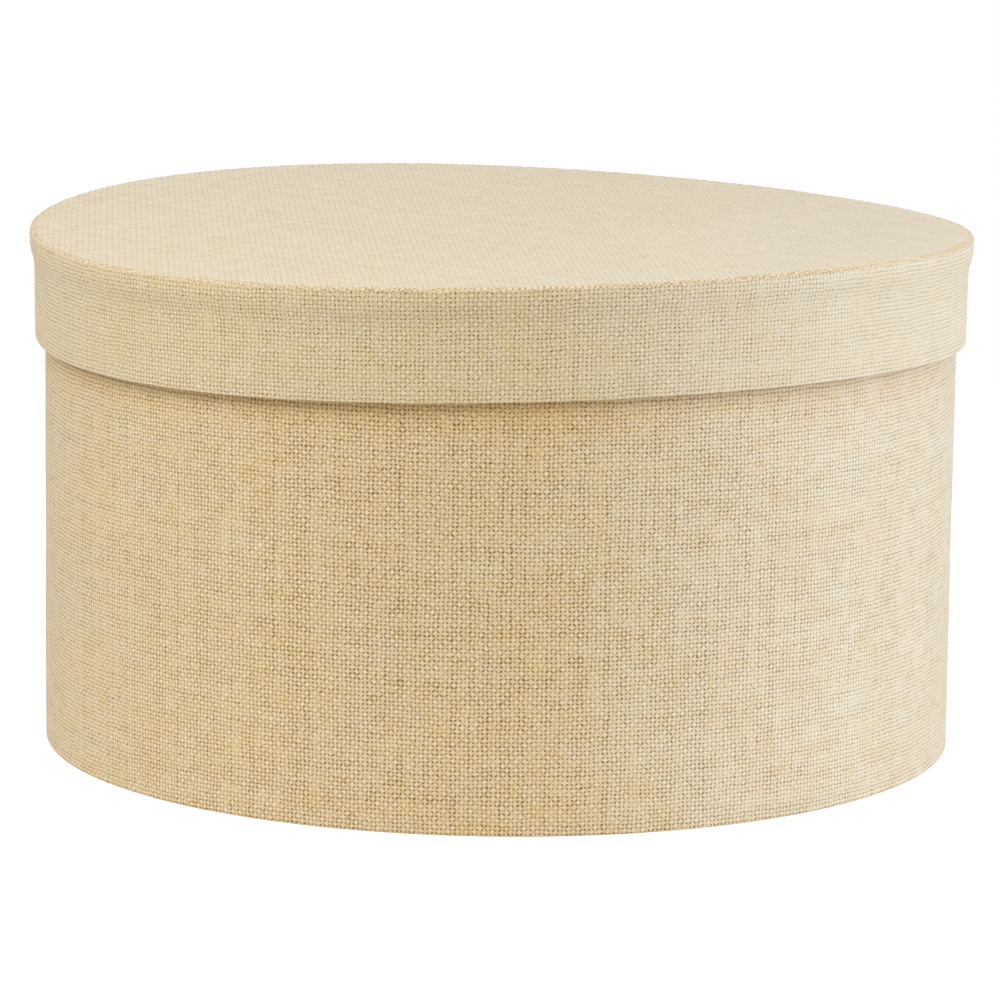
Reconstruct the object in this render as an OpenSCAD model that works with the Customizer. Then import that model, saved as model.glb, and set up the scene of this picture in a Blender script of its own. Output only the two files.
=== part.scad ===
// Round storage box covered in linen, with a lift-off lid that has bowed a little.
// Boards, cloth and linings are separate pieces that lie against each other.
// The origin is the middle of the foot, +Z is up and -Y is the front.

/* [Body] */
// Outside diameter of the covered body
body_d = 319.4; // [220:0.2:420]
// Height of the covered body, up to its rim
body_h = 175.6; // [90:0.2:260]
// Thickness of the rolled wall board
wall_board_t = 2; // [1.2:0.1:4]
// Thickness of the base board
base_board_t = 2.4; // [1.2:0.1:5]
// Radius of the rounded edge at the foot
foot_round = 0.7; // [0.3:0.1:0.8]

/* [Lid] */
// Depth of the lid, from its top to its lower edge
lid_h = 38; // [25:0.5:70]
// Thickness of the lid's top board
lid_board_t = 2.4; // [1.2:0.1:5]
// Thickness of the rolled rim board
rim_board_t = 1.2; // [0.8:0.1:3]
// How far the bowed lid's edge rises above flat, and dips below it a quarter turn on
lid_bow = 2.6; // [0.5:0.1:6]
// Turn of the bowed lid's low line from +X, in degrees
lid_bow_turn = 36; // [0:1:179]
// Room between the lid and the body, all round
lid_gap = 0.5; // [0.3:0.1:2]
// Room left between the body's rim and the lowest point of the lid's lining
seat_gap = 0.3; // [0.2:0.1:1]

/* [Linen] */
// Thickness of the linen with its glue
linen_t = 0.8; // [0.4:0.1:1.5]
// Depth of body linen turned in over the rim
rim_turn_in = 15; // [8:1:40]
// Width of body linen turned under the base
base_turn_under = 15; // [8:1:40]
// Depth of rim linen turned in over the lid's lower edge
lid_turn_in = 12; // [6:1:18]
// Depth of the hem along the lid's top edge
lid_hem = 9; // [5:0.5:12]
// Gap where the ends of a linen strip meet at the back
linen_seam = 0.4; // [0.2:0.1:1]

/* [Paper and tape] */
// Thickness of the lining paper
paper_t = 0.3; // [0.1:0.05:0.8]
// Film of paste behind the linings and over the tape
paste_t = 0.1; // [0.1:0.05:0.3]
// How far the linings stop short of the edges
liner_short = 3; // [1:0.5:5]
// How far the base paper stops short of the foot's edge
base_paper_short = 5.7; // [2:0.1:7]
// Thickness of the gummed tape over a board joint
tape_t = 0.2; // [0.1:0.05:0.4]
// Width of the gummed tape
tape_w = 30; // [15:1:60]
// Gap between the butted ends of a rolled board
board_joint = 0.6; // [0.2:0.1:2]
// Turn of the board joints from +X, in degrees, a little away from the linen seams
board_joint_turn = 104; // [96:1:170]

/* [Hidden] */
$fn = 180;

linen_colour = [0.83, 0.75, 0.58];
board_colour = [0.62, 0.60, 0.56];
paper_colour = [0.93, 0.91, 0.86];
tape_colour = [0.68, 0.52, 0.34];

// Linen seams are at the back
seam_turn = 90;
// Spare length on cutting shapes
spare = 5;

// Layers of the body, from the outside in and from the foot up
body_r = body_d / 2;
wall_out_r = body_r - linen_t;
wall_in_r = wall_out_r - wall_board_t;
turn_in_r = wall_in_r - linen_t;
liner_out_r = wall_in_r - paste_t;
liner_in_r = turn_in_r - paste_t - paper_t;
under_in_r = body_r - base_turn_under;
board_z = paper_t + linen_t;
floor_z = board_z + base_board_t;
floor_liner_z = floor_z + paste_t;
wall_top_z = body_h - linen_t;
turn_in_z = body_h - rim_turn_in;

// Layers of the lid, from the body out
lid_liner_r = body_r + lid_gap;
lid_turn_in_r = lid_liner_r + paper_t + paste_t;
rim_in_r = lid_turn_in_r + linen_t;
rim_out_r = rim_in_r + rim_board_t;
rim_cover_r = rim_out_r + linen_t;
lid_r = rim_cover_r + 2 * linen_t;

// Levels of the lid at its middle, from the lining down on to the rim
lid_dip = lid_bow * pow(body_r / lid_r, 2);
lid_liner_z = body_h + seat_gap + lid_dip;
lid_board_z = lid_liner_z + paper_t + paste_t;
lid_cover_z = lid_board_z + lid_board_t;
lid_top_z = lid_cover_z + linen_t;
lid_low_z = lid_top_z - lid_h;
lid_turn_in_z = lid_low_z + lid_turn_in;
lid_hem_z = lid_top_z - lid_hem;

// The bow is the inner side of a large ring that lies on edge: it curves up across the low line
// with this radius, and down along it with the same
bow_r = round(lid_r * lid_r / (2 * lid_bow));
bow_reach = lid_r + 2 * spare;
bow_depth = lid_h + 2 * lid_bow + 4 * spare;
bow_sweep = 2 * asin(bow_reach / bow_r);
// Steps in a full circle that keep the bow smooth
bow_steps = 3600;

// A band or disc between two radii and two levels
module band(r_in, r_out, z0, z1) {
    rotate_extrude()
        translate([r_in, z0])
            square([r_out - r_in, z1 - z0]);
}

// A thin upright gap through a band
module upright_gap(turn, width, r_in, r_out, z0, z1) {
    rotate([0, 0, turn])
        translate([r_in, -width / 2, z0])
            cube([r_out - r_in, width, z1 - z0]);
}

// A strip of tape pressed into the inside of a rolled board, or the recess that it leaves there
module tape_strip(board_in_r, r_in, z0, z1) {
    sweep = tape_w / board_in_r * 180 / PI;
    rotate([0, 0, board_joint_turn - sweep / 2])
        rotate_extrude(angle = sweep)
            translate([r_in, z0])
                square([board_in_r + paste_t + tape_t - r_in, z1 - z0]);
}

// Everything below the bowed surface whose middle is at this level, down to bow_depth
module below_bow(level) {
    translate([0, 0, level])
        rotate([0, 0, lid_bow_turn])
            translate([0, 0, bow_r])
                rotate([0, 90, 0])
                    rotate([0, 0, -bow_sweep / 2])
                        rotate_extrude(angle = bow_sweep, $fn = bow_steps)
                            intersection() {
                                translate([2 * bow_r, 0])
                                    circle(bow_r, $fn = bow_steps);
                                translate([bow_r - spare, -bow_reach])
                                    square([bow_depth + spare, 2 * bow_reach]);
                            }
}

// A band or disc whose two levels follow the lid's bow
module bowed_band(r_in, r_out, z0, z1) {
    intersection() {
        band(r_in, r_out, z0 - lid_bow - spare, z1 + lid_bow + spare);
        difference() {
            below_bow(z1);
            below_bow(z0);
        }
    }
}

module wall_board() {
    color(board_colour)
        difference() {
            band(wall_in_r, wall_out_r, board_z, wall_top_z);
            upright_gap(board_joint_turn, board_joint, wall_in_r - spare, body_r + spare, 0, body_h);
            tape_strip(wall_in_r, wall_in_r - spare, floor_z, body_h);
        }
}

module wall_joint_tape() {
    color(tape_colour)
        tape_strip(wall_in_r, wall_in_r + paste_t, floor_z, wall_top_z);
}

module base_board() {
    color(board_colour)
        band(0, wall_in_r, board_z, floor_z);
}

// The linen's section: up the outside, round the rim and down inside, and in under the base
module wall_cover() {
    rim_round = (body_r - turn_in_r) / 2;
    color(linen_colour)
        difference() {
            rotate_extrude()
                difference() {
                    union() {
                        translate([turn_in_r, paper_t])
                            square([body_r - turn_in_r, body_h - rim_round - paper_t]);
                        translate([turn_in_r + rim_round, body_h - rim_round])
                            circle(rim_round);
                        translate([under_in_r, paper_t])
                            square([body_r - under_in_r - foot_round, linen_t]);
                    }
                    translate([wall_in_r, board_z])
                        square([wall_board_t, wall_top_z - board_z]);
                    translate([under_in_r - spare, board_z])
                        square([wall_in_r - under_in_r + spare, turn_in_z - board_z]);
                    translate([body_r - foot_round, paper_t])
                        difference() {
                            translate([0, -spare])
                                square([foot_round + spare, foot_round + spare]);
                            translate([0, foot_round])
                                circle(foot_round);
                        }
                }
            upright_gap(seam_turn, linen_seam, under_in_r - spare, body_r + spare, 0, body_h + spare);
        }
}

// Drops from the base board to pass over the turned-under linen
module base_cover() {
    color(paper_colour)
        rotate_extrude()
            difference() {
                square([body_r - base_paper_short, board_z]);
                translate([under_in_r, paper_t])
                    square([base_turn_under, linen_t]);
                translate([0, -spare])
                    square([under_in_r - paper_t, linen_t + spare]);
            }
}

// Steps in to pass over the turned-in linen
module wall_liner() {
    step_z = turn_in_z - paste_t;
    color(paper_colour)
        rotate_extrude()
            difference() {
                translate([liner_in_r, floor_z])
                    square([liner_out_r - liner_in_r, body_h - liner_short - floor_z]);
                translate([liner_in_r + paper_t, step_z])
                    square([liner_out_r - liner_in_r, rim_turn_in]);
                square([liner_out_r - paper_t, step_z - paper_t]);
            }
}

module floor_liner() {
    color(paper_colour)
        band(0, liner_out_r - paper_t, floor_liner_z, floor_liner_z + paper_t);
}

module lid_board() {
    color(board_colour)
        bowed_band(0, rim_in_r, lid_board_z, lid_cover_z);
}

module lid_rim_board() {
    color(board_colour)
        difference() {
            bowed_band(rim_in_r, rim_out_r, lid_low_z + linen_t, lid_cover_z);
            upright_gap(board_joint_turn, board_joint, rim_in_r - spare, rim_out_r + spare, 0,
                lid_top_z + lid_bow + spare);
            lid_tape_strip(rim_in_r - spare, lid_low_z);
        }
}

// The tape inside the rim, from an inner radius and a lower level up to the lid's board
module lid_tape_strip(r_in, z0) {
    intersection() {
        tape_strip(rim_in_r, r_in, z0 - lid_bow - spare, lid_top_z + lid_bow);
        bowed_band(r_in - spare, rim_out_r, z0, lid_board_z);
    }
}

module lid_rim_joint_tape() {
    color(tape_colour)
        lid_tape_strip(rim_in_r + paste_t, lid_low_z + linen_t);
}

module lid_top_cover() {
    color(linen_colour)
        difference() {
            bowed_band(0, rim_cover_r, lid_hem_z, lid_top_z);
            bowed_band(0, rim_out_r, lid_hem_z - spare, lid_cover_z);
        }
}

// The linen's section: in over the lower edge, up the outside and hemmed double over the top
// cover's turned-down edge
module lid_rim_cover() {
    color(linen_colour)
        difference() {
            bowed_band(lid_turn_in_r, lid_r, lid_low_z, lid_top_z);
            bowed_band(rim_cover_r, lid_r + spare, lid_low_z - spare, lid_hem_z - linen_t);
            bowed_band(rim_in_r, rim_out_r, lid_low_z + linen_t, lid_top_z + spare);
            bowed_band(rim_in_r, rim_cover_r, lid_hem_z, lid_top_z + spare);
            bowed_band(lid_turn_in_r - spare, rim_out_r, lid_turn_in_z, lid_top_z + spare);
            upright_gap(seam_turn, linen_seam, lid_turn_in_r - spare, lid_r + spare, 0,
                lid_top_z + lid_bow + spare);
        }
}

// Steps in to pass over the turned-in linen
module lid_rim_liner() {
    out_r = rim_in_r - paste_t;
    step_z = lid_turn_in_z + paste_t;
    color(paper_colour)
        difference() {
            bowed_band(lid_liner_r, out_r, lid_low_z + liner_short, lid_liner_z);
            bowed_band(lid_liner_r + paper_t, out_r + spare, lid_low_z, step_z);
            bowed_band(lid_liner_r - spare, out_r - paper_t, step_z + paper_t, lid_liner_z + spare);
        }
}

module lid_top_liner() {
    color(paper_colour)
        bowed_band(0, rim_in_r - paste_t, lid_liner_z, lid_liner_z + paper_t);
}

wall_board();
wall_joint_tape();
base_board();
wall_cover();
base_cover();
wall_liner();
floor_liner();
lid_board();
lid_rim_board();
lid_rim_joint_tape();
lid_top_cover();
lid_rim_cover();
lid_rim_liner();
lid_top_liner();
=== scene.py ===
import math

import bpy
import numpy as np
from mathutils import Matrix, Vector


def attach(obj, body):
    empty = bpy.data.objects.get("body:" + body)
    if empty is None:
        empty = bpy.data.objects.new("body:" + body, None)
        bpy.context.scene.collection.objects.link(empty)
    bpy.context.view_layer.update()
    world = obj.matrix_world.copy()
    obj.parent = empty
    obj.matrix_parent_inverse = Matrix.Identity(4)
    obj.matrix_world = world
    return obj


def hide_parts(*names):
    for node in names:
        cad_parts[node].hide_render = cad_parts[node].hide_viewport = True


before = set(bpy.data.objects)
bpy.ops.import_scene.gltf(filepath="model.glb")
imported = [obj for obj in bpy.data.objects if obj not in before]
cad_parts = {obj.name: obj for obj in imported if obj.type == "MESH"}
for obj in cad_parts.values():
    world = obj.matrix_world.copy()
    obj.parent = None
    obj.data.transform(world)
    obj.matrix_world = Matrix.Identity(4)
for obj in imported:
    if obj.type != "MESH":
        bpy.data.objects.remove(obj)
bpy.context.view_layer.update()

# Round storage box covered in coarse linen, with a lift-off lid that has bowed a little.
# Metres throughout. The origin is the middle of the foot, +Z is up and -Y is the front.

MM = 0.001

# Layers that lie over the boards
LINEN = 0.8 * MM
PAPER = 0.3 * MM

# Threads of the linen, counted across the warp and across the weft
WARP_PITCH = 1.475 * MM
WEFT_PITCH = 1.405 * MM
# Turn of the top cloth's warp from +X, which lies near the bias
TOP_GRAIN = math.radians(50.5)

# The lid's bow: rise of its edge above flat, and turn of its low line from +X
BOW = 2.6 * MM
BOW_TURN = math.radians(36)
# Hem along the lid's top edge: its depth, half the height over which the rim swells to it,
# how far its fold lies below the top, and how far the fold stands out from the top cloth it laps over
HEM = 9 * MM
HEM_SLOPE = 4 * MM
HEM_DROP = 1.2 * MM
HEM_LIP = 0.3 * MM
# Radius with which the top cloth rolls over the lid's edge
TOP_ROLL = 1.0 * MM

# Depth of the linen turned in over the edges of the body and of the lid
BODY_TURN_IN = 15 * MM
LID_TURN_IN = 12 * MM

# The linen strips meet at the back, where they are drawn in by the dip within the spread
SEAM_TURN = math.radians(90)
SEAM_GAP = 0.4 * MM
SEAM_DIP = 0.3 * MM
SEAM_SPREAD = 0.6 * MM
# The wall's lining laps over itself near the back: turn and width of the lap
LAP_TURN = math.radians(118)
LAP = 9 * MM

# Mesh columns for each warp thread of a linen strip, and once round the other pieces
COLUMNS_PER_THREAD = 4
FINE_COLUMNS = 1440
RIM_PAPER_COLUMNS = 720
PAPER_DISC_COLUMNS = 480
# Edges sharper than this are not smoothed
SHARP = math.radians(55)

# Seeds of the random draws
SEEDS = {
    "wall_humps": 11, "wall": 12, "wall_paper": 21, "floor_paper": 31, "top": 41, "top_nubs": 42,
    "rim_humps": 51, "rim_slack": 52, "rim": 53, "rim_paper": 61, "top_paper": 71,
}


def bow(x, y):
    """Height of the lid's bow: a saddle that falls along the low line and rises across it, by the square."""
    along = x * math.cos(BOW_TURN) + y * math.sin(BOW_TURN)
    across = y * math.cos(BOW_TURN) - x * math.sin(BOW_TURN)
    return BOW * (across ** 2 - along ** 2) / LID_R ** 2


def ring(node, unbowed=False):
    """Inner radius, outer radius, lowest and highest level of a round solid, from its vertices.

    A solid of the lid can be measured with the bow taken out."""
    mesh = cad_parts[node].data
    flat = np.zeros(len(mesh.vertices) * 3)
    mesh.vertices.foreach_get("co", flat)
    points = flat.reshape(-1, 3)
    radius = np.hypot(points[:, 0], points[:, 1])
    level = points[:, 2]
    if unbowed:
        level = level - bow(points[:, 0], points[:, 1])
    return radius.min(), radius.max(), level.min(), level.max()


LID_R = ring("lid_rim_cover")[1]
UNDER_R, BODY_R, FOOT_Z, RIM_Z = ring("wall_cover")
WALL_IN_R, WALL_OUT_R, BOARD_Z, WALL_TOP_Z = ring("wall_board")
LINER_R, LINER_OUT_R, FLOOR_Z, LINER_TOP_Z = ring("wall_liner")
LID_IN_R, _, LID_LOW_Z, LID_TOP_Z = ring("lid_rim_cover", unbowed=True)
RIM_IN_R, RIM_OUT_R, _, LID_COVER_Z = ring("lid_rim_board", unbowed=True)
TURN_IN_R = WALL_IN_R - LINEN
RIM_COVER_R = RIM_OUT_R + LINEN
HEM_Z = LID_TOP_Z - HEM
HEM_TOP_Z = LID_TOP_Z - HEM_DROP
# Place of a disc's middle in its cloth's own coordinates, which stay above 0
DISC_MIDDLE = 2 * LID_R


# Profiles, as points of radius and level

def line(start, stop, count):
    """Points from start towards stop, evenly spaced, without stop."""
    return np.linspace(start, stop, count, endpoint=False)


def arc(centre, radius, start, stop, count):
    """Points on a circle about a centre, from one angle in degrees towards another, without the last."""
    turn = np.radians(np.linspace(start, stop, count, endpoint=False))
    return np.stack([centre[0] + radius * np.cos(turn), centre[1] + radius * np.sin(turn)], axis=1)


def lengths(profile):
    """Distance along a profile to each of its points."""
    steps = np.hypot(*np.diff(profile, axis=0).T)
    return np.concatenate([[0.0], np.cumsum(steps)])


def normals(profile):
    """Unit normals of a profile, to the right of the way it runs."""
    along = np.gradient(profile, axis=0)
    along = along / np.hypot(along[:, 0], along[:, 1])[:, None]
    return np.stack([along[:, 1], -along[:, 0]], axis=1)


def bump_at(distance, middle, width):
    """A bell that is 1 at a place along a profile and fades within a width to both sides."""
    return np.exp(-((distance - middle) / width) ** 2)


def step_at(value, start, stop):
    """A smooth step from 0 at start to 1 at stop."""
    share = np.clip((value - start) / (stop - start), 0, 1)
    return share * share * (3 - 2 * share)


# Unevenness

def ripple(points, wavelength, seed, waves=28):
    """Smooth unevenness of about -1 to 1: a sum of plain waves of about one length in random directions."""
    draw = np.random.default_rng(seed)
    ways = draw.normal(size=(waves, 3))
    ways = ways / np.linalg.norm(ways, axis=1)[:, None]
    pace = 2 * math.pi / (wavelength * draw.uniform(0.7, 1.5, waves))
    phase = draw.uniform(0, 2 * math.pi, waves)
    total = np.zeros(points.shape[:-1])
    for way, rate, shift in zip(ways, pace, phase):
        total = total + np.sin(points @ way * rate + shift)
    return total / math.sqrt(waves)


def thread_humps(reach, seed):
    """Height of the warp threads where they bend over a fold, from 0 to about 1.

    Each thread is a parabola across its own pitch, every other one passes under and stands lower, and each
    has its own thickness."""
    count = reach / WARP_PITCH
    thread = np.floor(count).astype(int)
    share = count - thread
    draw = np.random.default_rng(seed)
    thick = draw.uniform(0.45, 1.0, thread.max() + 1)
    over = np.where(np.arange(thread.max() + 1) % 2 == 0, 1.0, 0.62)
    return 4 * share * (1 - share) * (thick * over)[thread]


# Meshes

def grid_faces(rows, columns, close_rows, close_columns):
    """Corner numbers of the quads of a grid of points, joined round in either direction where it closes."""
    i = np.arange(rows if close_rows else rows - 1)[:, None]
    j = np.arange(columns if close_columns else columns - 1)[None, :]
    below = i * columns
    above = ((i + 1) % rows) * columns
    right = (j + 1) % columns
    return np.stack([below + j, below + right, above + right, above + j], axis=-1).reshape(-1, 4)


def volume(points, faces):
    """Volume inside quads, which is negative where they face inwards."""
    a, b, c, d = (points[faces[:, k]] for k in range(4))
    return np.sum(np.cross(a, b) * c + np.cross(a, c) * d) / 6


def build(name, points, quads, caps, cloth, material):
    """A smooth mesh object from points, quads and the faces that cap it, with the cloth's own coordinates."""
    if volume(points, quads) < 0:
        quads = quads[:, ::-1]
        caps = caps[:, ::-1]
    mesh = bpy.data.meshes.new(name)
    mesh.from_pydata(points.tolist(), [], quads.tolist() + caps.tolist())
    corners = np.zeros(len(mesh.loops), np.int32)
    mesh.loops.foreach_get("vertex_index", corners)
    layer = mesh.uv_layers.new(name="cloth")
    layer.data.foreach_set("uv", cloth[corners].astype(np.float32).ravel())
    mesh.polygons.foreach_set("use_smooth", np.ones(len(mesh.polygons), bool))
    mesh.set_sharp_from_angle(angle=SHARP)
    mesh.materials.append(material)
    piece = bpy.data.objects.new(name, mesh)
    bpy.context.scene.collection.objects.link(piece)
    return piece


def round_points(radius, level, turn, bowed):
    """Points at a radius, level and turn about the upright axis, set on the lid's bow where asked."""
    x = radius * np.cos(turn)
    y = radius * np.sin(turn)
    return np.stack([x, y, level + bow(x, y) if bowed else level + 0 * x], axis=-1)


def linen_strip(name, outer, back, seat_r, swell, bowed, material):
    """A strip of linen carried round from seam to seam: a closed section of a face and a back profile.

    The face stands off its profile, along the profile's normals, by what swell gives for the distance along
    the profile, the reach round the strip and the points. At both ends it is drawn in towards the seam."""
    girth = 2 * math.pi * seat_r - SEAM_GAP
    columns = COLUMNS_PER_THREAD * round(girth / WARP_PITCH) + 1
    reach = np.linspace(0, girth, columns)[None, :]
    turn = SEAM_TURN + (reach + SEAM_GAP / 2) / seat_r
    facing = normals(outer)
    seat = round_points(outer[:, :1], outer[:, 1:], turn, bowed)
    to_seam = np.minimum(reach, girth - reach)
    lift = swell(lengths(outer)[:, None], reach, seat) - SEAM_DIP * bump_at(to_seam, 0, SEAM_SPREAD)
    face = round_points(outer[:, :1] + facing[:, :1] * lift, outer[:, 1:] + facing[:, 1:] * lift, turn, bowed)
    rear = round_points(back[:, :1], back[:, 1:], turn, bowed)
    points = np.concatenate([face, rear]).reshape(-1, 3)
    along = np.concatenate([lengths(outer), lengths(outer)[-1] + LINEN + lengths(back)])[:, None]
    cloth = np.stack(np.broadcast_arrays(reach, along), axis=-1).reshape(-1, 2)
    rows = len(outer) + len(back)
    first = np.arange(rows) * columns
    ends = np.stack([first, first[::-1] + columns - 1])
    return build(name, points, grid_faces(rows, columns, True, False), ends, cloth, material)


def turned_disc(name, profile, columns, lift, bowed, material, grain=0.0):
    """A profile from the axis out and back to the axis, carried right round, with its two poles closed.

    Lift gives how far each point stands up. The cloth's coordinates spread from the pole along the
    profile."""
    turn = np.linspace(0, 2 * math.pi, columns, endpoint=False)[None, :]
    distance = lengths(profile)[:, None]
    spread = distance[1:-1]
    seat = round_points(profile[1:-1, :1], profile[1:-1, 1:], turn, bowed)
    seat[..., 2] += lift(spread, seat)
    poles = round_points(profile[[0, -1], 0], profile[[0, -1], 1], np.zeros(2), bowed)
    poles[:, 2] += lift(distance[[0, -1]], poles[:, None])[:, 0]
    points = np.concatenate([seat.reshape(-1, 3), poles])
    cloth = np.stack([spread * np.cos(turn - grain), spread * np.sin(turn - grain)], axis=-1).reshape(-1, 2)
    cloth = np.concatenate([cloth, [[0, 0], [spread[-1, 0], 0]]]) + DISC_MIDDLE
    rows = len(spread)
    here = np.arange(columns)
    beside = (here + 1) % columns
    last = (rows - 1) * columns
    near = np.full(columns, rows * columns)
    fans = np.concatenate([
        np.stack([near, beside, here], axis=1),
        np.stack([near + 1, last + here, last + beside], axis=1),
    ])
    return build(name, points, grid_faces(rows, columns, False, True), fans, cloth, material)


def turned_ring(name, profile, columns, lift, bowed, material):
    """A closed profile carried right round. Lift moves each point out from the axis."""
    turn = np.linspace(0, 2 * math.pi, columns, endpoint=False)[None, :]
    seat = round_points(profile[:, :1], profile[:, 1:], turn, bowed)
    points = round_points(profile[:, :1] + lift(turn, seat), profile[:, 1:], turn, bowed).reshape(-1, 3)
    along = lengths(profile)[:, None]
    cloth = np.stack(np.broadcast_arrays(turn * profile[:, :1].mean(), along), axis=-1).reshape(-1, 2)
    no_caps = np.zeros((0, 3), int)
    return build(name, points, grid_faces(len(profile), columns, True, True), no_caps, cloth, material)


# Shader maths

class Wire:
    """A socket of a node tree. Maths on wires, or on wires and numbers, adds Math nodes."""

    def __init__(self, tree, socket=None):
        self.tree = tree
        self.socket = socket

    def node(self, kind, settings=None, inputs=None, output=0):
        """Adds a node, sets its settings, then feeds its sockets with wires or plain values.

        A setting named stops holds the positions and colours of a ramp. Gives the wire from one output."""
        made = self.tree.nodes.new(kind)
        for name, value in (settings or {}).items():
            if name == "stops":
                ramp = made.color_ramp.elements
                while len(ramp) < len(value):
                    ramp.new(0.5)
                for stop, (position, colour) in zip(ramp, value):
                    stop.position = position
                    stop.color = colour
            else:
                setattr(made, name, value)
        for name, value in (inputs or {}).items():
            if isinstance(value, Wire):
                self.tree.links.new(value.socket, made.inputs[name])
            else:
                made.inputs[name].default_value = value
        return Wire(self.tree, made.outputs[output])

    def math(self, operation, *values):
        return self.node("ShaderNodeMath", {"operation": operation}, dict(enumerate(values)))

    def vector(self, operation, *values, output=0):
        return self.node("ShaderNodeVectorMath", {"operation": operation}, dict(enumerate(values)), output)

    def __add__(self, other):
        return self.math("ADD", self, other)

    __radd__ = __add__

    def __sub__(self, other):
        return self.math("SUBTRACT", self, other)

    def __rsub__(self, other):
        return self.math("SUBTRACT", other, self)

    def __mul__(self, other):
        return self.math("MULTIPLY", self, other)

    __rmul__ = __mul__

    def __truediv__(self, other):
        return self.math("DIVIDE", self, other)

    def __pow__(self, other):
        return self.math("POWER", self, other)

    def floor(self):
        return self.math("FLOOR", self)

    def odd(self):
        """0 for an even number and 1 for an odd one."""
        return self.math("FLOORED_MODULO", self, 2)

    def larger(self, other):
        return self.math("MAXIMUM", self, other)

    def step(self, start, stop):
        """A smooth step from 0 at start to 1 at stop."""
        settings = {"interpolation_type": "SMOOTHSTEP"}
        inputs = {"Value": self, "From Min": start, "From Max": stop}
        return self.node("ShaderNodeMapRange", settings, inputs)

    def blend(self, first, second):
        """The first colour where this wire is 0 and the second where it is 1."""
        settings = {"data_type": "RGBA"}
        inputs = {"Factor": self, 6: first, 7: second}
        return self.node("ShaderNodeMix", settings, inputs, 2)

    def tinted(self, colour):
        """This colour times another."""
        return self.vector("MULTIPLY", self, colour)

    def ramp(self, stops):
        """The colour at this wire's value among the stops."""
        return self.node("ShaderNodeValToRGB", {"stops": stops}, {0: self})

    def noise(self, scale, detail=2.0, output="Fac"):
        """Smooth noise of about 0.3 to 0.7 at this place, with that many cells for each unit."""
        inputs = {"Vector": self, "Scale": scale, "Detail": detail}
        return self.node("ShaderNodeTexNoise", {"noise_dimensions": "3D"}, inputs, output)

    def lot(self, dimensions="1D"):
        """A random draw from 0 to 1 for each number, or for each place."""
        socket = "W" if dimensions == "1D" else "Vector"
        return self.node("ShaderNodeTexWhiteNoise", {"noise_dimensions": dimensions}, {socket: self}, "Value")

    def place(self, x, y):
        return self.node("ShaderNodeCombineXYZ", {}, {0: x, 1: y})

    def part(self, axis):
        return self.node("ShaderNodeSeparateXYZ", {}, {0: self}, axis)

    def bump(self, strength, distance):
        """The normal of a surface with this wire as its height."""
        return self.node("ShaderNodeBump", {}, {"Strength": strength, "Distance": distance, "Height": self})

    def feed(self, socket):
        self.tree.links.new(self.socket, socket)


def new_material(name):
    """A material, its shader's sockets, a loose wire to start from and the place on the object."""
    material = bpy.data.materials.new(name)
    material.use_nodes = True
    shader = material.node_tree.nodes["Principled BSDF"]
    start = Wire(material.node_tree)
    return material, shader.inputs, start, start.node("ShaderNodeTexCoord", {}, {}, "Object")


def linear(red, green, blue):
    """A colour written as 0 to 255 in sRGB, as the shader's linear colour."""
    share = np.array([red, green, blue]) / 255
    value = np.where(share <= 0.04045, share / 12.92, ((share + 0.055) / 1.055) ** 2.4)
    return (*value.tolist(), 1.0)


PLAIN = (1.0, 1.0, 1.0, 1.0)
# Colours of the linen from its pin-holes up to the crowns of its threads; the dark end is the board showing
# through plus painted shade in the holes, the light end a painted highlight on the crowns
FLAX = [
    (0.0, linear(117, 84, 24)), (0.42, linear(173, 142, 82)),
    (0.71, linear(213, 188, 140)), (0.96, linear(246, 227, 188)),
]
# Tints of single threads, and of the cloth's patches from pale to golden
THREAD_TINTS = [
    (0.26, (0.94, 0.91, 0.80, 1)), (0.44, (1.005, 0.985, 0.965, 1)),
    (0.56, (1, 1.015, 1.025, 1)), (0.74, (1.04, 1.07, 1.14, 1)),
]
PATCH_TINTS = [(0.36, (1, 1.02, 1.09, 1)), (0.56, (1, 0.985, 0.94, 1)), (0.70, (1, 0.95, 0.83, 1))]
# Pale colour painted over the lit side, as painted light and sheen; a warm tint painted as shade under the
# lid's edge; and a tint that darkens the top cloth towards its edge
LIT_PALE = linear(233, 229, 217)
UNDER_LID_SHADE = (1.0, 0.90, 0.72, 1.0)
EDGE_DARKENING = (0.90, 0.90, 0.95, 1.0)
# Turn of the side that is painted paler, as if lit by the key light
LIT_SIDE_TURN = math.radians(-15)

# Ways in which the threads leave their straight lines: noise cells for each thread, and reach in threads
SWAYS = [(0.11, 0.8), (0.6, 0.55)]
# Half length, half width and bend of the largest pin-hole, in threads
HOLE_LONG = 0.32
HOLE_WIDE = 0.18
HOLE_BEND = 0.4
# Share of a pin-hole's size that comes from its two lines, from itself and from the swelling of its threads,
# and the smallest size left
LINE_SHARE = 0.33
OWN_SHARE = 0.25
SWELL_SHARE = 1.1
LEAST_SIZE = 0.1
# Noise cells from one thread to the next, which are many so that neighbours differ, and along a thread
SWELL_CELLS = (7.3, 0.2)
TINT_CELLS = (5.1, 0.25)


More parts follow.
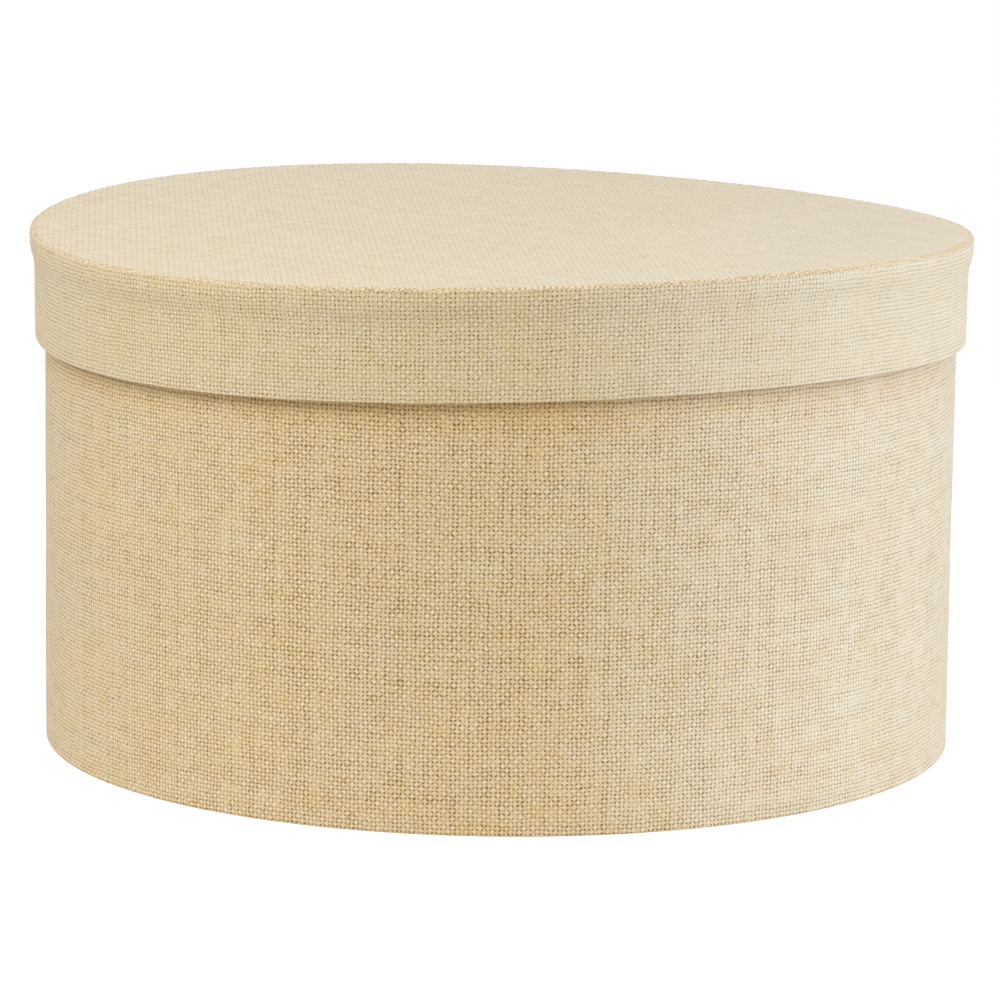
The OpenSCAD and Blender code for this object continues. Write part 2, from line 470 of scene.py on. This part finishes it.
def pin_holes(start, warp_count, weft_count, openness, hollow):
    """1 in the weave's pin-holes and 0 on its threads.

    Where four threads meet a hole is left: an oval that slants one way and the other in turn and bends a
    little. Its size is its own, and follows the threads beside it, which differ and swell along their
    length. Its edge is soft, over a width that hollow makes narrower."""
    warp_gap = (warp_count + 0.5).floor()
    weft_gap = (weft_count + 0.5).floor()
    from_warp = warp_count - warp_gap
    from_weft = (weft_count - weft_gap) * ((warp_gap + weft_gap).odd() * 2 - 1)
    along = (from_warp + from_weft) * math.sqrt(0.5)
    bend = warp_gap.odd() * (2 * HOLE_BEND) - HOLE_BEND
    beside = (from_warp - from_weft) * math.sqrt(0.5) + bend * along * along
    apart, pace = SWELL_CELLS
    warp_swell = start.place(warp_gap * apart, weft_count * pace).noise(1) - 0.5
    weft_swell = start.place(warp_count * pace, weft_gap * apart + 500).noise(1) - 0.5
    lines = (warp_gap + 0.5).lot() + 0.7 * (weft_gap + 9000.5).lot() - 0.85
    own = start.place(warp_gap + 0.5, weft_gap + 0.5).lot("2D") - 0.5
    size = 1 + LINE_SHARE * lines + OWN_SHARE * own + SWELL_SHARE * (warp_swell + weft_swell)
    size = (size * openness).larger(LEAST_SIZE)
    oval = ((along / HOLE_LONG) ** 2 + (beside / HOLE_WIDE) ** 2) ** 0.5
    return 1 - (oval / size).step(hollow, 1.8 - hollow)


def linen_material(name, openness, hollow, knots, tone, mottle, lit_paling, sheen, lid_z=None, edge_r=None):
    """Coarse plain weave in natural flax.

    Warp and weft pass over and under each other in turn, and lie a little higher where the warp is on top.
    Openness scales the pin-holes, hollow is how dark, deep and sharp they are, and knots is how much the
    crossings stand out. The holes' darkness is the board showing through plus painted shade, and the crowns
    and crossings are painted lighter, as a painted highlight on the relief. Tone tints the whole cloth,
    mottle is how strong its patches are, and lit_paling is how far the side that faces the key light is
    painted paler, as painted light and sheen, its threads more than its holes. The cloth of the body has
    painted shade about
    lid_z: a warm, darker band under the lid's edge. A disc of cloth is painted paler all over, as painted
    light from above, and is darker and less pale towards its edge, at edge_r."""
    material, shader, start, spot = new_material(name)
    flat = start.node("ShaderNodeUVMap", {"uv_map": "cloth"})
    straight = start.vector("DIVIDE", flat, (WARP_PITCH, WEFT_PITCH, 1))
    count = straight
    for cells, reach in SWAYS:
        shift = start.vector("SUBTRACT", straight.noise(cells, 1, "Color"), (0.5, 0.5, 0.5))
        count = start.vector("MULTIPLY_ADD", shift, (reach, reach, 0), count)
    warp_count = count.part(0)
    weft_count = count.part(1)
    warp = warp_count.floor()
    weft = weft_count.floor()
    crown = (start.math("COSINE", (warp_count - warp - 0.5) * math.pi)
             * start.math("COSINE", (weft_count - weft - 0.5) * math.pi))
    over = crown * (1 - 2 * (warp + weft).odd())
    hole = pin_holes(start, warp_count, weft_count, openness, hollow)

    fibre = start.vector("MULTIPLY", count, (5, 5, 1)).noise(1) - 0.5
    # Painted shade and highlight: darker into the pin-holes, where the board also shows, and lighter on the
    # thread crowns and the raised crossings
    holes_and_painted_relief = 0.75 + 0.06 * crown * crown + knots * over + 1.3 * fibre - hollow * hole
    apart, pace = TINT_CELLS
    warp_tint = start.place(warp * apart, weft_count * pace + 200).noise(1)
    weft_tint = start.place(warp_count * pace, weft * apart + 900).noise(1)
    shown = over.step(-0.2, 0.2)
    tint = (shown * warp_tint + (1 - shown) * weft_tint).ramp(THREAD_TINTS)
    clouds = 0.5 + mottle * (flat.noise(34, 3) * 0.4 + flat.noise(150) * 0.6 - 0.5)
    colour = holes_and_painted_relief.ramp(FLAX).tinted(tint).tinted(clouds.ramp(PATCH_TINTS)).tinted(tone)

    # Painted light: the side turned towards the key light is painted paler, standing in for light and sheen
    # there, and its most lit part a little more
    towards = (math.cos(LIT_SIDE_TURN) / BODY_R, math.sin(LIT_SIDE_TURN) / BODY_R, 0)
    faced = start.vector("DOT_PRODUCT", spot, towards, output="Value")
    pale = faced.step(0.28, 0.85) * lit_paling * (2.0 - 2.0 * clouds) + 0.1 * faced.step(0.75, 1.0)
    if lid_z:
        # Painted shade: a warm, darker band on the body cloth under the lid's lower edge, fading out above it
        level = spot.part(2)
        below = level.step(lid_z - 18 * MM, lid_z + 2 * MM)
        above = level.step(lid_z, lid_z + 14 * MM)
        colour = colour.tinted((below * (1 - 0.7 * above)).blend(PLAIN, UNDER_LID_SHADE))
    if edge_r:
        # Darker, greyer and less pale towards the disc's edge
        from_middle = start.vector("SUBTRACT", flat, (DISC_MIDDLE, DISC_MIDDLE, 0))
        spread = start.vector("LENGTH", from_middle, output="Value")
        toward_edge = spread.step(edge_r - 3 * MM, edge_r - 0.5 * MM)
        colour = colour.tinted(toward_edge.blend(PLAIN, EDGE_DARKENING))
        # Painted light: the disc is painted paler all over, as lit from above, and a little more on the lit
        # side
        pale = (1 - 0.5 * toward_edge) * (lit_paling + 0.1 * faced.step(0.0, 0.8))
    (pale * (1 - 0.65 * hole)).blend(colour, LIT_PALE).feed(shader["Base Color"])

    relief = (1 - hole) * (0.8 + 2 * knots * over)
    relief.bump(1.0, 0.4 * MM * hollow).feed(shader["Normal"])
    (0.85 + 0.12 * hole).feed(shader["Roughness"])
    shader["Specular IOR Level"].default_value = 0.1
    shader["Sheen Weight"].default_value = sheen
    shader["Sheen Roughness"].default_value = 0.5
    return material


def paper_material():
    """Matt lining paper, cream, with faint clouds and fibres."""
    material, shader, _, spot = new_material("lining_paper")
    clouds = spot.noise(45, 4)
    fibres = spot.noise(900, 3)
    cream = [(0.3, linear(226, 217, 196)), (0.7, linear(240, 233, 216))]
    (clouds * 0.6 + fibres * 0.4).ramp(cream).feed(shader["Base Color"])
    fibres.bump(0.25, 0.1 * MM).feed(shader["Normal"])
    (0.8 + 0.15 * clouds).feed(shader["Roughness"])
    shader["Specular IOR Level"].default_value = 0.3
    return material


def board_material():
    """Grey board of pressed waste paper, with light and dark flecks."""
    material, shader, _, spot = new_material("grey_board")
    pulp = spot.noise(160, 4)
    flecks = spot.noise(1400)
    grey = [(0.3, linear(138, 132, 122)), (0.55, linear(166, 160, 149)), (0.72, linear(186, 180, 168))]
    (pulp * 0.5 + flecks * 0.5).ramp(grey).feed(shader["Base Color"])
    flecks.bump(0.3, 0.15 * MM).feed(shader["Normal"])
    (0.82 + 0.2 * pulp).feed(shader["Roughness"])
    shader["Specular IOR Level"].default_value = 0.25
    return material


def tape_material():
    """Gummed brown paper tape, with fine lines along its length."""
    material, shader, start, spot = new_material("gummed_tape")
    lines = start.vector("MULTIPLY", spot, (1800, 1800, 60)).noise(1)
    clouds = spot.noise(120, 3)
    brown = [(0.3, linear(160, 118, 74)), (0.7, linear(190, 150, 104))]
    (lines * 0.6 + clouds * 0.4).ramp(brown).feed(shader["Base Color"])
    lines.bump(0.2, 0.1 * MM).feed(shader["Normal"])
    (0.55 + 0.3 * clouds).feed(shader["Roughness"])
    return material


# Pieces of the body

def wall_cover(material):
    """Linen of the body, from under the base up the wall, round the rim and down inside.

    Its threads show as humps on the two folds, and the wall is a little uneven."""
    paper_r = ring("base_cover")[1] + 0.4 * MM
    foot = 0.7 * MM
    foot_z = 0.05 * MM
    rim = (BODY_R - TURN_IN_R) / 2
    turn_in_z = RIM_Z - BODY_TURN_IN
    outer = np.concatenate([
        line((UNDER_R, FOOT_Z), (paper_r, FOOT_Z), 2),
        line((paper_r, FOOT_Z), (BODY_R - foot, foot_z), 3),
        arc((BODY_R - foot, foot_z + foot), foot, -90, 0, 5),
        line((BODY_R, foot_z + foot), (BODY_R, RIM_Z - rim), 7),
        arc((TURN_IN_R + rim, RIM_Z - rim), rim, 0, 180, 8),
        line((TURN_IN_R, RIM_Z - rim), (TURN_IN_R, turn_in_z), 2),
        [(TURN_IN_R, turn_in_z)],
    ])
    back = np.array([
        (WALL_IN_R, turn_in_z), (WALL_IN_R, WALL_TOP_Z), (WALL_OUT_R, WALL_TOP_Z),
        (WALL_OUT_R, RIM_Z / 2), (WALL_OUT_R, BOARD_Z), (UNDER_R, BOARD_Z),
    ])
    foot_at = BODY_R - UNDER_R
    rim_at = foot_at + RIM_Z
    height = 0.12 * MM

    def swell(distance, reach, seat):
        humps = thread_humps(reach, SEEDS["wall_humps"])
        folds = bump_at(distance, rim_at, 2.5 * MM) + 0.4 * bump_at(distance, foot_at, 1.5 * MM)
        wall = step_at(distance, foot_at, foot_at + 20 * MM)
        return height * folds * humps + wall * height * ripple(seat, 60 * MM, SEEDS["wall"])

    return linen_strip("wall_linen", outer, back, BODY_R, swell, False, material)


def base_cover(material):
    """Paper disc under the base, which steps down over the turned-under linen."""
    _, outer_r, _, top_z = ring("base_cover")
    slope = 2 * MM
    lean = 0.2 * MM
    profile = np.concatenate([
        line((0, top_z - PAPER), (UNDER_R - slope, top_z - PAPER), 24),
        line((UNDER_R - slope, top_z - PAPER), (UNDER_R, 0), 4),
        line((UNDER_R, 0), (outer_r, 0), 5),
        line((outer_r, 0), (outer_r, PAPER), 2),
        line((outer_r, PAPER), (UNDER_R + lean, PAPER), 5),
        line((UNDER_R + lean, PAPER), (UNDER_R - slope + lean, top_z), 4),
        line((UNDER_R - slope + lean, top_z), (0, top_z), 24),
        [(0, top_z)],
    ])

    def lift(distance, seat):
        return np.zeros(seat.shape[:-1])

    return turned_disc("base_paper", profile, PAPER_DISC_COLUMNS, lift, False, material)


def wall_liner(material):
    """Paper strip round the inside of the wall.

    It steps in over the turned-in linen, and laps over itself near the back."""
    step_z = RIM_Z - BODY_TURN_IN
    low_r = LINER_OUT_R - PAPER
    soft = 0.15 * MM
    inner = np.array([
        (low_r, FLOOR_Z), (low_r, FLOOR_Z + 50 * MM), (low_r, FLOOR_Z + 100 * MM),
        (low_r, step_z - 3.0 * MM), (low_r - soft, step_z - 2.0 * MM),
        (LINER_R + soft, step_z - 0.8 * MM), (LINER_R, step_z), (LINER_R, LINER_TOP_Z),
    ])
    outer = inner[::-1] + np.array([PAPER, 0])

    def lift(turn, seat):
        from_lap = (turn - LAP_TURN) % (2 * math.pi)
        lapped = np.where(from_lap < LAP / LINER_R, 1.0, 0.0)
        return 0.06 * MM * ripple(seat, 35 * MM, SEEDS["wall_paper"]) - 0.2 * MM * lapped

    return turned_ring("wall_paper", np.concatenate([inner, outer]), FINE_COLUMNS, lift, False, material)


def plain_disc(outer_r, low_z, high_z, count):
    """Profile of a flat disc, from the middle of its top round its edge to the middle of its underside."""
    return np.concatenate([
        line((0, high_z), (outer_r, high_z), count),
        line((outer_r, high_z), (outer_r, low_z), 2),
        line((outer_r, low_z), (0, low_z), count),
        [(0, low_z)],
    ])


def floor_liner(material):
    """Paper disc on the floor inside."""
    _, outer_r, low_z, high_z = ring("floor_liner")

    def lift(distance, seat):
        return 0.05 * MM * (1 + ripple(seat, 40 * MM, SEEDS["floor_paper"]))

    profile = plain_disc(outer_r, low_z, high_z, 30)
    return turned_disc("floor_paper", profile, PAPER_DISC_COLUMNS, lift, False, material)


# Pieces of the lid

def lid_top_cover(material):
    """Linen disc over the lid's top, rolled over the edge and tucked under the hem.

    The top is a little uneven, and the threads stand up in nubs where they roll over."""
    edge_r = LID_R - HEM_LIP
    roll_r = edge_r - TOP_ROLL
    profile = np.concatenate([
        line((0, LID_TOP_Z), (roll_r, LID_TOP_Z), 28),
        arc((roll_r, LID_TOP_Z - TOP_ROLL), TOP_ROLL, 90, 0, 7),
        line((edge_r, LID_TOP_Z - TOP_ROLL), (edge_r, HEM_TOP_Z - HEM_LIP), 2),
        line((edge_r, HEM_TOP_Z - HEM_LIP), (RIM_COVER_R, HEM_TOP_Z - LINEN), 2),
        line((RIM_COVER_R, HEM_TOP_Z - LINEN), (RIM_COVER_R, HEM_Z), 2),
        line((RIM_COVER_R, HEM_Z), (RIM_OUT_R, HEM_Z), 2),
        line((RIM_OUT_R, HEM_Z), (RIM_OUT_R, LID_COVER_Z), 2),
        line((RIM_OUT_R, LID_COVER_Z), (0, LID_COVER_Z), 10),
        [(0, LID_COVER_Z)],
    ])
    height = 0.1 * MM

    def lift(distance, seat):
        top = 1 - step_at(distance, roll_r - 6 * MM, roll_r)
        rolled = bump_at(distance, roll_r + 0.6 * MM, 1.2 * MM)
        nubs = rolled * (ripple(seat, 2.6 * MM, SEEDS["top_nubs"]) - 1)
        return top * height * ripple(seat, 45 * MM, SEEDS["top"]) + height * nubs

    return turned_disc("lid_top_linen", profile, FINE_COLUMNS, lift, True, material, TOP_GRAIN)


def hem_swell(count):
    """The rim's outside where it swells from one layer of linen to three, as a smooth step."""
    level = np.linspace(HEM_Z - HEM_SLOPE, HEM_TOP_Z - HEM_LIP / 2, count, endpoint=False)
    radius = RIM_COVER_R + (LID_R - RIM_COVER_R) * step_at(level, HEM_Z - HEM_SLOPE, HEM_Z + HEM_SLOPE)
    return np.stack([radius, level], axis=1)


def lid_rim_cover(material):
    """Linen of the lid's rim, from inside round the lower edge, up the outside and over the hem's fold.

    Its threads show as humps on the two folds, the hem is a little slack and the outside a little uneven."""
    low = LID_LOW_Z
    turn_in_z = low + LID_TURN_IN
    bend = 0.4 * MM
    lip = HEM_LIP / 2
    side_r = RIM_COVER_R - 0.3 * MM
    fold_r = LID_R - HEM_LIP
    outer = np.concatenate([
        line((LID_IN_R, turn_in_z), (LID_IN_R, low + bend), 2),
        arc((LID_IN_R + bend, low + bend), bend, 180, 270, 3),
        line((LID_IN_R + bend, low), (side_r - bend, low), 2),
        arc((side_r - bend, low + bend), bend, 270, 360, 5),
        line((side_r, low + bend), (RIM_COVER_R, HEM_Z - HEM_SLOPE), 3),
        hem_swell(6),
        arc((LID_R - lip, HEM_TOP_Z - lip), lip, 0, 180, 5),
        line((fold_r, HEM_TOP_Z - lip), (fold_r, HEM_TOP_Z - 2 * HEM_LIP), 2),
        [(fold_r, HEM_TOP_Z - 2 * HEM_LIP), (RIM_COVER_R, HEM_TOP_Z - 2 * LINEN)],
    ])
    back = np.array([
        (RIM_COVER_R, HEM_Z), (RIM_OUT_R, HEM_Z - 1 * MM), (RIM_OUT_R, low + LINEN),
        (RIM_IN_R, low + LINEN), (RIM_IN_R, turn_in_z),
    ])
    fold_at = lengths(outer)[-1] - 2 * LINEN
    edge_at = LID_TURN_IN

    def swell(distance, reach, seat):
        humps = thread_humps(reach, SEEDS["rim_humps"]) - 0.3
        folds = bump_at(distance, fold_at, 1.6 * MM) + 0.3 * bump_at(distance, edge_at, 2.5 * MM)
        hem = bump_at(distance, fold_at, 7 * MM)
        slack = hem * 0.16 * MM * ripple(seat, 26 * MM, SEEDS["rim_slack"])
        outside = step_at(distance, edge_at + 4 * MM, edge_at + 12 * MM)
        uneven = outside * 0.08 * MM * ripple(seat, 50 * MM, SEEDS["rim"])
        return 0.24 * MM * folds * humps + slack + uneven

    return linen_strip("lid_rim_linen", outer, back, RIM_COVER_R, swell, True, material)


def lid_rim_liner(material):
    """Paper strip round the inside of the lid's rim, which steps in over the turned-in linen."""
    inner_r, outer_r, low_z, high_z = ring("lid_rim_liner", unbowed=True)
    step_z = LID_LOW_Z + LID_TURN_IN
    outer = np.array([
        (inner_r + PAPER, low_z), (inner_r + PAPER, step_z), (outer_r - 0.15 * MM, step_z + 1.2 * MM),
        (outer_r, step_z + 2.4 * MM), (outer_r, high_z),
    ])
    inner = outer[::-1] - np.array([PAPER, 0])

    def lift(turn, seat):
        return 0.03 * MM * ripple(seat, 30 * MM, SEEDS["rim_paper"])

    profile = np.concatenate([outer, inner])
    return turned_ring("lid_rim_paper", profile, RIM_PAPER_COLUMNS, lift, True, material)


def lid_top_liner(material):
    """Paper disc inside the lid's top."""
    _, outer_r, low_z, high_z = ring("lid_top_liner", unbowed=True)

    def lift(distance, seat):
        return 0.04 * MM * ripple(seat, 40 * MM, SEEDS["top_paper"])

    profile = plain_disc(outer_r, low_z, high_z, 24)
    return turned_disc("lid_top_paper", profile, PAPER_DISC_COLUMNS, lift, True, material)


body_linen = linen_material("body_linen", openness=0.955, hollow=0.6, knots=0.05, tone=(0.95, 0.962, 1.01),
                            mottle=1.0, lit_paling=0.42, sheen=0.3, lid_z=LID_LOW_Z)
rim_linen = linen_material("rim_linen", openness=0.735, hollow=0.6, knots=0.04, tone=(0.93, 0.967, 1.06),
                           mottle=0.7, lit_paling=0.4, sheen=0.3)
top_linen = linen_material("top_linen", openness=1.2, hollow=0.3, knots=0.05, tone=(1.11, 1.105, 1.07),
                           mottle=1.0, lit_paling=0.53, sheen=0.2, edge_r=LID_R)
paper = paper_material()
board = board_material()
tape = tape_material()

# Each new piece: what makes it, its finish, the node it stands for, its slot and its body
DRESSED = [
    (wall_cover, body_linen, "wall_cover", "linen", "box"),
    (base_cover, paper, "base_cover", "lining_paper", "box"),
    (wall_liner, paper, "wall_liner", "lining_paper", "box"),
    (floor_liner, paper, "floor_liner", "lining_paper", "box"),
    (lid_top_cover, top_linen, "lid_top_cover", "linen", "lid"),
    (lid_rim_cover, rim_linen, "lid_rim_cover", "linen", "lid"),
    (lid_rim_liner, paper, "lid_rim_liner", "lining_paper", "lid"),
    (lid_top_liner, paper, "lid_top_liner", "lining_paper", "lid"),
]
for make, finish, node, slot, body in DRESSED:
    piece = make(finish)
    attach(piece, body)
    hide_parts(node)

# The boards and the tapes keep their solids
KEPT = {
    "wall_board": board, "base_board": board, "lid_board": board, "lid_rim_board": board,
    "wall_joint_tape": tape, "lid_rim_joint_tape": tape,
}
for node, finish in KEPT.items():
    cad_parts[node].data.materials.clear()
    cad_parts[node].data.materials.append(finish)


# Stage

def seen_directly(start):
    """1 for camera, glossy and transmission rays, and 0 for the rays that light the object."""
    camera = start.node("ShaderNodeLightPath", {}, {}, "Is Camera Ray")
    glossy = start.node("ShaderNodeLightPath", {}, {}, "Is Glossy Ray")
    through = start.node("ShaderNodeLightPath", {}, {}, "Is Transmission Ray")
    return camera.larger(glossy).larger(through)


def studio_world():
    """Soft even light from all round, seen as plain white."""
    world = bpy.data.worlds.new("studio")
    bpy.context.scene.world = world
    world.use_nodes = True
    tree = world.node_tree
    start = Wire(tree)
    light = start.node("ShaderNodeBackground", {}, {"Color": PLAIN, "Strength": 0.1})
    white = start.node("ShaderNodeBackground", {}, {"Color": PLAIN, "Strength": 1.0})
    mixed = start.node("ShaderNodeMixShader", {}, {0: seen_directly(start), 1: light, 2: white})
    mixed.feed(tree.nodes["World Output"].inputs["Surface"])


def studio_floor():
    """Pale floor that lights the object as a plain matt surface and is seen as white with a soft shadow."""
    half = 0.8
    corners = [(-half, -half, 0), (half, -half, 0), (half, half, 0), (-half, half, 0)]
    mesh = bpy.data.meshes.new("floor")
    mesh.from_pydata(corners, [], [(0, 1, 2, 3)])
    material = bpy.data.materials.new("pale_floor")
    material.use_nodes = True
    tree = material.node_tree
    tree.nodes.clear()
    start = Wire(tree)
    plain = start.node("ShaderNodeBsdfDiffuse", {}, {"Color": (0.92, 0.92, 0.92, 1)})
    faint = start.node("ShaderNodeBsdfDiffuse", {}, {"Color": (0.3, 0.3, 0.3, 1)})
    glow = start.node("ShaderNodeEmission", {}, {"Color": PLAIN, "Strength": 0.85})
    shown = start.node("ShaderNodeAddShader", {}, {0: faint, 1: glow})
    mixed = start.node("ShaderNodeMixShader", {}, {0: seen_directly(start), 1: plain, 2: shown})
    output = tree.nodes.new("ShaderNodeOutputMaterial")
    mixed.feed(output.inputs["Surface"])
    mesh.materials.append(material)
    floor = bpy.data.objects.new("floor", mesh)
    bpy.context.scene.collection.objects.link(floor)


def soft_box(name, place, size, power):
    """A square lamp at a place, turned to the middle of the box."""
    aim = Vector((0, 0, 0.1))
    data = bpy.data.lights.new(name, "AREA")
    data.shape = "SQUARE"
    data.size = size
    data.energy = power
    lamp = bpy.data.objects.new(name, data)
    lamp.location = place
    lamp.rotation_euler = (aim - Vector(place)).to_track_quat("-Z", "Y").to_euler()
    bpy.context.scene.collection.objects.link(lamp)


def photo_camera():
    """A long lens a little above the box, looking along +Y, with a slight roll."""
    distance = 1962.6 * MM
    rise = math.radians(10.084)
    roll = math.radians(0.662)
    aim = Vector((0, 0, 90.9 * MM))
    data = bpy.data.cameras.new("camera")
    data.sensor_width = 36
    data.lens = 199.88
    data.shift_x = 0.001
    data.shift_y = -0.0209
    camera = bpy.data.objects.new("camera", data)
    back = Vector((0, -math.cos(rise), math.sin(rise)))
    turn = (-back).to_track_quat("-Z", "Y").to_matrix().to_4x4()
    camera.matrix_world = Matrix.Translation(aim + back * distance) @ turn @ Matrix.Rotation(roll, 4, "Z")
    bpy.context.scene.collection.objects.link(camera)
    bpy.context.scene.camera = camera


studio_world()
studio_floor()
soft_box("front", (0.0, -1.4, 1.6), 1.2, 22)
soft_box("left", (-1.4, -0.4, 1.3), 1.2, 19.8)
soft_box("left_low", (-1.6, -0.2, 0.6), 1.2, 2)
soft_box("right", (1.5, 0.5, 0.7), 1.2, 10.8)
soft_box("right_front", (1.6, -0.5, 0.5), 0.8, 10.2)
photo_camera()
bpy.context.scene.view_settings.view_transform = "Standard"
